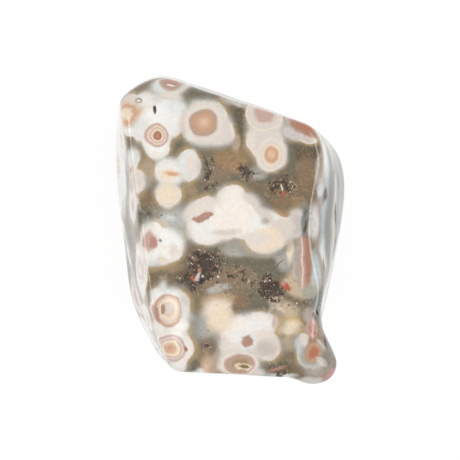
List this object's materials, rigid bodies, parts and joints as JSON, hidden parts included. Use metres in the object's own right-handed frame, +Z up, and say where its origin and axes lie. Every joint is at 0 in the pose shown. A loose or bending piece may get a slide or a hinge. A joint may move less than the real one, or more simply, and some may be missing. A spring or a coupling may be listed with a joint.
{
  "type": "ocean jasper tumbled stone",
  "caption": "Polished tumbled stone of ocean jasper: flat worn faces with rounded ridges, one scooped side and a rounded foot at one corner; lies on its back to be seen or held.",
  "frame": {"origin": "centre of the bounding box in X and Y, at the flat on the back that the stone rests on", "axes": "+Y along the length, from the foot end to the pointed end; +X across the width, from the leaning side to the scooped side; +Z up, out of the patterned front face"},
  "size_m": [0.0298, 0.04, 0.0211],
  "materials": {
    "polished_jasper": "high polish"
  },
  "bodies": {
    "root": {"stone": "polished_jasper"}
  },
  "joints": []
}
